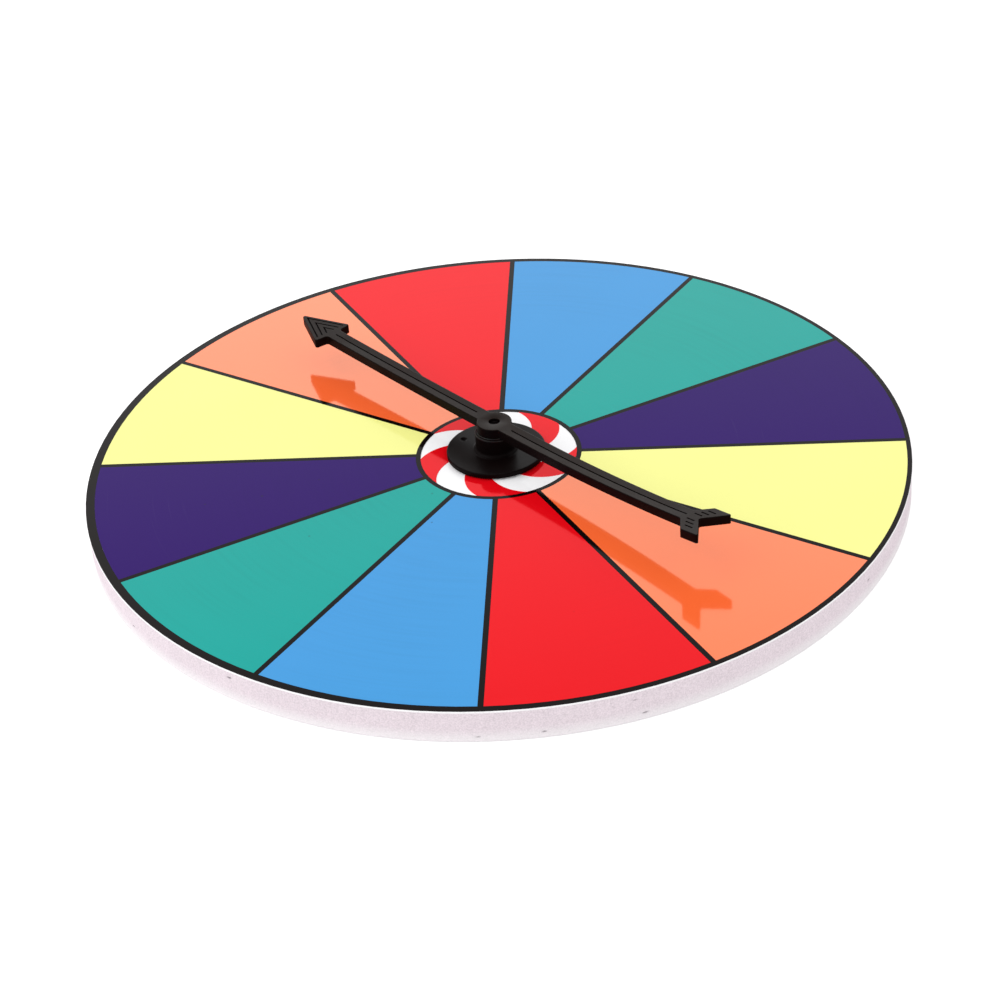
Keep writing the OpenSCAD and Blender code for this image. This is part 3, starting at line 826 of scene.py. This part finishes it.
def pin_halves(shell, base):
    """The two springy halves of the slotted pivot pin, with their snap barbs"""
    barb = BASE_HIGH.z - base.barb_cone - base.barb_height
    lip = base.pin_radius + base.barb_lip
    root = THRUST_HIGH.z - 0.1 * MM
    bevel = 0.03 * MM
    levels = [(base.pin_radius, root), (base.pin_radius, barb), (lip, barb + bevel),
              (lip, barb + base.barb_height), (base.pin_radius - base.barb_lip, BASE_HIGH.z)]
    for side in (1, -1):
        rows = []
        for radius, height in levels:
            lean = math.asin(base.pin_slot / 2 / radius)
            rim = arc((0.0, 0.0), radius, lean, math.pi - lean, 16)
            rows.append(shell.row([(side * p.x, side * p.y, height) for p in rim]))
        # The pin takes the darker wall material, painted shade inside the bore
        for low, high in zip(rows, rows[1:]):
            shell.bridge(low, high, 1)
        shell.face(reversed(rows[0]), 1)
        shell.face(rows[-1], 1)


class WHEEL_OT_spinner_base(bpy.types.Operator):
    """Moulds the flange, the post and the slotted pivot pin"""
    bl_idname = "game_wheel.spinner_base"
    bl_label = "Spinner base"

    def execute(self, context):
        base = context.scene.game_wheel.base
        shell = Shell()
        section, dull = base_section(base)
        rows = turned(shell, section, sides=384, closed=False, dull=dull)
        # The caps at the end of the screw's hole and on top of the pin's root are in painted shade too
        shell.cap([rows[0]], upward=False, look=1)
        shell.cap([rows[-1]], look=1)
        dimple = Matrix.Rotation(base.dimple_angle, 2) @ Vector((base.dimple_reach, 0.0))
        flange = BASE_LOW.z + base.flange_thickness
        rim = base.flange_radius - base.flange_round * 0.7
        middle = BASE_LOW.z + 0.5 * base.flange_thickness
        sunk = set()
        for i, (x, y, z) in enumerate(shell.points):
            gap = (Vector((x, y)) - dimple).length / base.dimple_radius
            if gap < 1.0 and abs(z - flange) < 0.01 * MM:
                shell.points[i] = (x, y, z - base.dimple_depth * min(1.0, 2.0 * (1.0 - gap)))
                sunk.add(i)
            if math.hypot(x, y) > rim and z > middle:
                shell.wear[i] = 0.3
        # Painted shade: the dimple's faces take the darker wall material
        shell.looks = [1 if sunk.intersection(face) else look for face, look in zip(shell.faces, shell.looks)]
        pin_halves(shell, base)
        piece = shell.make("spinner_base_moulding")
        look = {"Colour": opaque(base.plastic), "Worn Colour": opaque(base.worn), "Grain": 2400.0,
                "Base Roughness": 0.34, "Marks": 0.12}
        satin = {"Specular IOR Level": 0.20}
        material = dressed("base plastic", "moulded plastic", look, 0.006 * MM, satin, {"Edge": "edge_wear"})
        settle(piece, [material, painted_shade_wall_material(base)], "board", "spinner_base")
        return {"FINISHED"}


# Pointer

def bend_rise(pointer, along):
    radius = pointer.head_bend if along > 0 else pointer.tail_bend
    return max(0.0, abs(along) - pointer.bend_start) ** 2 / (2 * radius)


def sink_drop(pointer, along, across):
    """How far the arm's top sinks under its edges, on the arms only"""
    reach = abs(along)
    margin, fade = 6 * MM, 4 * MM
    last = (pointer.head_back if along > 0 else pointer.tail_reach - pointer.feather_length) - margin
    start = min(1.0, max(0.0, (reach - pointer.boss_radius) / fade))
    end = min(1.0, max(0.0, (last - reach) / fade))
    return pointer.arm_sink * start * end * max(0.0, 1.0 - abs(across) / pointer.arm_half)


def boss_flank(half, boss, fillet):
    """The fillet from an arm's left edge to the boss, as seen along the arm"""
    along = math.sqrt((boss + fillet) ** 2 - (half + fillet) ** 2)
    centre = (along, half + fillet)
    return arc(centre, fillet, -math.pi / 2, math.atan2(-centre[1], -centre[0]), 6)


def pointer_outline(pointer):
    """Flat outline of the pointer along its own axis, anticlockwise from the tip of the head"""
    boss = pointer.boss_radius
    widen = (pointer.tail_arm_half - pointer.arm_half) * boss / pointer.tail_reach
    front = boss_flank(pointer.arm_half, boss, pointer.boss_fillet)
    rear = boss_flank(pointer.arm_half + widen, boss, pointer.boss_fillet)
    rear = [Vector((-p.x, p.y)) for p in reversed(rear)]
    start = math.atan2(front[-1].y, front[-1].x)
    end = math.atan2(rear[0].y, rear[0].x)
    ring = arc((0.0, 0.0), boss, start, end, 28)
    feather = pointer.tail_reach - pointer.feather_length
    root = feather - pointer.feather_slant
    half = [(pointer.head_back, pointer.head_half, 0.8 * MM),
            (pointer.head_back - pointer.head_slope, pointer.arm_half, 1.2 * MM)]
    half += [(p.x, p.y, 0.0) for p in front[:-1] + ring + rear[1:]]
    half += [(-root, pointer.tail_arm_half, 1.5 * MM), (-feather, pointer.tail_half, 0.6 * MM),
             (-pointer.tail_reach, pointer.tail_half, 0.55 * MM)]
    mirrored = [(x, -y, radius) for x, y, radius in reversed(half)]
    tip = (pointer.head_apex, 0.0, 0.8 * MM)
    notch = (-pointer.tail_reach + pointer.notch_depth, 0.0, 0.9 * MM)
    return divided(rounded([tip] + half + [notch] + mirrored), LONGEST_EDGE)


def engraved_marks(pointer):
    """Flat outlines of the engraved lines, anticlockwise: centre lines, nested angles and feather strokes"""
    half = pointer.groove_width / 2
    feather = pointer.tail_reach - pointer.feather_length

    def bar(x0, x1, y):
        low, high = y - half, y + half
        return [Vector(corner) for corner in ((x0, low), (x1, low), (x1, high), (x0, high))]

    marks = [bar(pointer.groove_start, pointer.head_back - pointer.head_slope - pointer.groove_end, 0.0),
             bar(-feather + pointer.feather_slant, -pointer.groove_start, 0.0)]
    slope = math.atan(pointer.head_half / (pointer.head_apex - pointer.head_back))
    back = pointer.head_back + pointer.chevron_back
    for i in range(3):
        start = pointer.chevron_edge + i * pointer.chevron_pitch
        outer = pointer.head_apex - start / math.sin(slope)
        inner = outer - pointer.groove_width / math.sin(slope)
        end = Vector((back, (outer - back) * math.tan(slope)))
        close = end - Vector((math.sin(slope), math.cos(slope))) * pointer.groove_width
        upper = [end, close]
        lower = [Vector((p.x, -p.y)) for p in reversed(upper)]
        marks.append([Vector((outer, 0.0))] + upper + [Vector((inner, 0.0))] + lower)
    notch = pointer.notch_depth - pointer.tail_reach
    for side in (1, -1):
        for i in range(3):
            middle = notch + pointer.vane_lead - i * pointer.vane_sweep
            reach = pointer.vane_length / 2
            marks.append(bar(middle - reach, middle + reach, side * (i + 1) * pointer.vane_pitch))
    return [divided(mark, LONGEST_EDGE) for mark in marks]


def pointer_shell(pointer):
    """The pointer in its own frame: its axis along x and the boss's underside at height 0"""
    shell = Shell()
    outline = pointer_outline(pointer)
    boss = pointer.boss_radius

    def level(points, drop):
        rises = [bend_rise(pointer, p.x) - sink_drop(pointer, p.x, p.y) for p in points]
        return [(p.x, p.y, pointer.boss_height + rise - drop) for p, rise in zip(points, rises)]

    low = shell.row([(p.x, p.y, pointer.boss_height - pointer.arm_thickness + bend_rise(pointer, p.x))
                     for p in outline])
    rim = pointer.edge_round
    below, strip = 0.2 * MM, 0.12 * MM
    rows = [low, shell.row(level(outline, rim + below), 0.1)]
    for i, wear in ((0, 0.4), (1, 1.0), (2, 1.0), (3, 0.5)):
        tilt = i * math.pi / 6
        line = inset(outline, rim * (1 - math.cos(tilt)))
        rows.append(shell.row(level(line, rim * (1 - math.sin(tilt))), wear))
    flat = inset(outline, rim + strip)
    top_row = shell.row(level(flat, 0.0))
    rows.append(top_row)
    # The side wall and the lower part of the edge rounding take the darker wall material: painted shade on
    # the flanks
    for i in range(len(rows) - 1):
        shell.bridge(rows[i], rows[i + 1], 1 if i < 4 else 0)

    # Underside of the two arms, outside the boss, in painted shade
    on_boss = [i for i, p in enumerate(outline) if abs(p.length - boss) < 1e-6]
    upper = [i for i in on_boss if outline[i].y > 0]
    lower = [i for i in on_boss if outline[i].y < 0]
    under = pointer.boss_height - pointer.arm_thickness

    def hidden_arc(start, end):
        angles = (math.atan2(outline[start].y, outline[start].x), math.atan2(outline[end].y, outline[end].x))
        sweep = (angles[1] - angles[0]) % (2 * math.pi)
        spots = arc((0.0, 0.0), boss, angles[0], angles[0] + sweep, 10)[1:-1]
        return shell.row([(p.x, p.y, under) for p in spots])

    tail_arc = hidden_arc(upper[-1], lower[0])
    head_arc = hidden_arc(lower[-1], upper[0])
    count = len(outline)
    tail_loop = [low[i] for i in range(upper[-1], lower[0] + 1)] + tail_arc[::-1]
    head_loop = [low[i % count] for i in range(lower[-1], upper[0] + count + 1)] + head_arc[::-1]
    for loop in (tail_loop, head_loop):
        shell.cap([loop], upward=False, look=1)

    # Boss under the arms, its bearing and the hole over it
    ring = [low[i] for i in upper] + tail_arc + [low[i] for i in lower] + head_arc
    angles = [math.atan2(shell.points[i][1], shell.points[i][0]) for i in ring]

    def circle(radius, height, wear=0.0):
        return shell.row([(radius * math.cos(a), radius * math.sin(a), height) for a in angles], wear)

    top = pointer.boss_height
    edge = pointer.hole_round
    wall = [circle(boss, 0.6 * under), circle(boss - 0.4 * under, 0.0)]
    bore = [circle(pointer.bore_radius, 0.0), circle(pointer.bore_radius, pointer.bore_height)]
    wide = pointer.hole_radius
    hole = [circle(wide, pointer.bore_height), circle(wide, top - edge),
            circle(wide + 0.3 * edge, top - 0.3 * edge, 0.5), circle(wide + edge, top)]
    rows = [ring] + wall + bore + hole
    # The boss's wall under the arms, the bearing and the hole's side take the darker wall material: painted
    # shade
    for i in range(len(rows) - 1):
        shell.bridge(rows[i + 1], rows[i], 1 if i < len(rows) - 3 else 0)

    # Engraved top
    loops = [top_row, hole[-1]]
    for mark in engraved_marks(pointer):
        lip = shell.row(level(mark, 0.0))
        floor = shell.row(level(inset(mark, DRAFT), pointer.groove_depth))
        # Groove walls and floors take the darker wall material: painted shade in the grooves
        shell.bridge(lip, floor, 1)
        shell.cap([floor], look=1)
        loops.append(lip)
    shell.cap(loops)
    return shell


class WHEEL_OT_pointer(bpy.types.Operator):
    """Moulds the arrow with its boss, engraved lines and upturned tail"""
    bl_idname = "game_wheel.pointer"
    bl_label = "Pointer"

    def execute(self, context):
        wheel = context.scene.game_wheel
        pointer = wheel.pointer
        place = Matrix.Translation((0.0, 0.0, POINTER_LOW.z)) @ Matrix.Rotation(pointer.rest_angle, 4, "Z")
        piece = pointer_shell(pointer).make("pointer_moulding", place)
        look = {"Colour": opaque(pointer.plastic), "Worn Colour": opaque(pointer.worn), "Grain": 2200.0,
                "Base Roughness": 0.36, "Ring Reach": pointer.boss_radius, "Line Turn": pointer.rest_angle,
                "Marks": 0.45}
        satin = {"Specular IOR Level": 0.22}
        wear = {"Edge": "edge_wear"}
        material = dressed("pointer plastic", "moulded plastic", look, 0.010 * MM, satin, wear)
        settle(piece, [material, painted_shade_wall_material(wheel.base)], "pointer", "pointer")
        return {"FINISHED"}


# Washers, pad and screw

def ring_section(inner, outer, low, high, edge):
    """Half section of a flat ring with rounded edges, anticlockwise"""
    corners = [(inner, low, edge), (outer, low, edge), (outer, high, edge), (inner, high, edge)]
    return rounded(corners, 3)


class WHEEL_OT_washers(bpy.types.Operator):
    """Turns the thrust washer and the back washer, and finishes the adhesive pad"""
    bl_idname = "game_wheel.washers"
    bl_label = "Washers and pad"

    def execute(self, context):
        wheel = context.scene.game_wheel
        fixing = wheel.fixing
        edge = fixing.washer_round
        thrust = Shell()
        section = ring_section(fixing.thrust_hole, fixing.thrust_radius, THRUST_LOW.z, THRUST_HIGH.z, edge)
        turned(thrust, section, sides=128)
        look = {"Colour": opaque(fixing.washer), "Worn Colour": opaque(wheel.base.worn), "Grain": 5000.0,
                "Base Roughness": 0.22}
        plastic = dressed("washer plastic", "moulded plastic", look, 0.004 * MM, {"Specular IOR Level": 0.30})
        settle(thrust.make("thrust_ring"), [plastic], "board", "thrust_washer")
        back = Shell()
        section = ring_section(fixing.washer_hole, fixing.washer_radius, WASHER_LOW.z, WASHER_HIGH.z, edge)
        turned(back, section, sides=160)
        steel = steel_material("zinc steel", fixing.steel)
        settle(back.make("back_ring"), [steel], "board", "back_washer")
        look = {"Colour": opaque(wheel.board.pad), "Cells": 3200.0, "Contrast": 0.2}
        pad = dressed("pad foam", "cell foam", look, 0.05 * MM, {"Specular IOR Level": 0.2})
        coat_node("adhesive_pad", pad)
        return {"FINISHED"}


class WHEEL_OT_screw(bpy.types.Operator):
    """Turns the screw and sinks the cross in its head"""
    bl_idname = "game_wheel.screw"
    bl_label = "Fixing screw"

    def execute(self, context):
        fixing = context.scene.game_wheel.fixing
        shell = Shell()
        low, high = SCREW_LOW.z, SCREW_HIGH.z
        seat = WASHER_LOW.z
        chamfer = 0.08 * MM
        dome = arc((fixing.head_radius - fixing.head_round, low + fixing.head_round), fixing.head_round,
                   -math.pi / 2, 0.0, 6)
        levels = [(p.x, p.y) for p in dome]
        levels += [(fixing.head_radius, seat - chamfer), (fixing.head_radius - chamfer, seat),
                   (fixing.shank_radius, seat), (fixing.shank_radius, high - fixing.point_length),
                   (fixing.tip_radius, high)]
        rows = turned(shell, levels, sides=64, closed=False)
        shell.cap([rows[-1]])
        reach, half = fixing.cross_length, fixing.cross_width
        quarter = [Vector((reach, -half)), Vector((reach, half)), Vector((half, half))]
        cross = [Matrix.Rotation(i * math.pi / 2, 2) @ p for i in range(4) for p in quarter]
        lip = shell.row([(p.x, p.y, low) for p in cross])
        floor = shell.row([(p.x, p.y, low + fixing.cross_depth) for p in inset(cross, DRAFT)])
        shell.bridge(floor, lip)
        shell.cap([floor], upward=False)
        shell.cap([rows[0], lip], upward=False)
        steel = bpy.data.materials.get("zinc steel") or steel_material("zinc steel", fixing.steel)
        settle(shell.make("cross_screw"), [steel], "board", "fixing_screw")
        return {"FINISHED"}


# Stage

def seen_directly(tree):
    """1 where a ray comes from the camera, a reflection or glass, and 0 where it only lights the object"""
    path = add_node(tree, "ShaderNodeLightPath").outputs
    mirror = maths(tree, "MAXIMUM", path["Is Camera Ray"], path["Is Glossy Ray"])
    return maths(tree, "MAXIMUM", mirror, path["Is Transmission Ray"])


def lamp(name, place, width, height, power):
    """A soft panel that faces the middle of the board"""
    data = bpy.data.lights.new(name, "AREA")
    data.shape = "RECTANGLE"
    data.size = width
    data.size_y = height
    data.energy = power
    panel = bpy.data.objects.new(name, data)
    panel.location = place
    panel.rotation_euler = (-Vector(place)).to_track_quat("-Z", "Y").to_euler()
    bpy.context.scene.collection.objects.link(panel)


class WHEEL_OT_stage(bpy.types.Operator):
    """Lays the floor, sets the light and places the camera"""
    bl_idname = "game_wheel.stage"
    bl_label = "Stage"

    def execute(self, context):
        stage = context.scene.game_wheel.stage
        self.floor(stage)
        self.light(context.scene, stage)
        self.camera(context.scene, stage)
        context.scene.view_settings.view_transform = "Standard"
        return {"FINISHED"}

    def floor(self, stage):
        half = stage.floor_size / 2
        mesh = bpy.data.meshes.new("floor")
        corners = [(-half, -half, 0), (half, -half, 0), (half, half, 0), (-half, half, 0)]
        mesh.from_pydata(corners, [], [(0, 1, 2, 3)])
        floor = bpy.data.objects.new("floor", mesh)
        floor.location.z = -stage.floor_gap
        bpy.context.scene.collection.objects.link(floor)
        material = bpy.data.materials.new("floor")
        material.use_nodes = True
        tree = material.node_tree
        surface = tree.nodes["Principled BSDF"]
        surface.inputs["Base Color"].default_value = opaque(stage.floor)
        surface.inputs["Roughness"].default_value = 1.0
        surface.inputs["Specular IOR Level"].default_value = 0.0
        surface.inputs["Emission Color"].default_value = (1.0, 1.0, 1.0, 1.0)
        lift = maths(tree, "MULTIPLY", seen_directly(tree), stage.floor_lift)
        tree.links.new(lift, surface.inputs["Emission Strength"])
        mesh.materials.append(material)

    def light(self, scene, stage):
        world = bpy.data.worlds.new("white room")
        world.use_nodes = True
        tree = world.node_tree
        background = tree.nodes["Background"]
        background.inputs["Color"].default_value = (1.0, 1.0, 1.0, 1.0)
        direction = add_node(tree, "ShaderNodeTexCoord").outputs["Generated"]
        height = add_node(tree, "ShaderNodeSeparateXYZ", {0: direction}).outputs[2]
        wall_top, overhead = 0.46, 0.72
        room = remap(tree, height, wall_top, overhead, 1.0, stage.ceiling)
        more = maths(tree, "MULTIPLY", seen_directly(tree), maths(tree, "SUBTRACT", room, stage.fill))
        tree.links.new(maths(tree, "ADD", more, stage.fill), background.inputs["Strength"])
        scene.world = world
        lamp("left panel", (-1.58, -0.42, 1.47), width=2.2, height=1.8, power=20.7)
        lamp("right panel", (1.42, -0.82, 1.47), width=1.8, height=1.8, power=7.5)

    def camera(self, scene, stage):
        up_cos, up_sin = math.cos(stage.camera_elevation), math.sin(stage.camera_elevation)
        right = Vector((1.0, 0.0, 0.0))
        ahead = Vector((0.0, up_cos, -up_sin))
        up = Vector((0.0, up_sin, up_cos))
        spot = Vector((0.0, 0.0, SHEET_HIGH.z)) - ahead * stage.camera_distance
        yaw, pitch, roll = stage.camera_yaw, stage.camera_pitch, stage.camera_roll
        turned_ahead = math.cos(yaw) * ahead + math.sin(yaw) * right
        turned_right = math.cos(yaw) * right - math.sin(yaw) * ahead
        view = math.cos(pitch) * turned_ahead + math.sin(pitch) * up
        top = math.cos(pitch) * up - math.sin(pitch) * turned_ahead
        x_axis = math.cos(roll) * turned_right - math.sin(roll) * top
        y_axis = math.sin(roll) * turned_right + math.cos(roll) * top
        axes = Matrix((x_axis, y_axis, -view)).transposed().to_4x4()
        around = Matrix.Rotation(stage.camera_azimuth, 4, "Z")
        data = bpy.data.cameras.new("camera")
        data.lens = stage.camera_lens
        camera = bpy.data.objects.new("camera", data)
        camera.matrix_world = around @ Matrix.Translation(spot) @ axes
        scene.collection.objects.link(camera)
        scene.camera = camera


# Panel and start

OPERATORS = (WHEEL_OT_foam_board, WHEEL_OT_printed_face, WHEEL_OT_spinner_base, WHEEL_OT_pointer,
             WHEEL_OT_washers, WHEEL_OT_screw, WHEEL_OT_stage)


class WHEEL_PT_panel(bpy.types.Panel):
    """Lists the settings and the steps of the game wheel"""
    bl_idname = "WHEEL_PT_panel"
    bl_label = "Game wheel"
    bl_space_type = "VIEW_3D"
    bl_region_type = "UI"
    bl_category = "Game Wheel"

    def draw(self, context):
        for step in OPERATORS:
            self.layout.operator(step.bl_idname)
        wheel = context.scene.game_wheel
        for group in WheelSettings.__annotations__:
            settings = getattr(wheel, group)
            box = self.layout.box()
            box.label(text=group.capitalize())
            for name in type(settings).__annotations__:
                box.prop(settings, name)


CLASSES = (BoardSettings, PrintSettings, BaseSettings, PointerSettings, FixingSettings, StageSettings,
           WheelSettings) + OPERATORS + (WHEEL_PT_panel,)


def register():
    for item in CLASSES:
        bpy.utils.register_class(item)
    bpy.types.Scene.game_wheel = bpy.props.PointerProperty(type=WheelSettings)


def unregister():
    del bpy.types.Scene.game_wheel
    for item in reversed(CLASSES):
        bpy.utils.unregister_class(item)


def main():
    register()
    bpy.ops.game_wheel.foam_board()
    bpy.ops.game_wheel.printed_face()
    bpy.ops.game_wheel.spinner_base()
    bpy.ops.game_wheel.pointer()
    bpy.ops.game_wheel.washers()
    bpy.ops.game_wheel.screw()
    bpy.ops.game_wheel.stage()


if __name__ == "__main__":
    main()
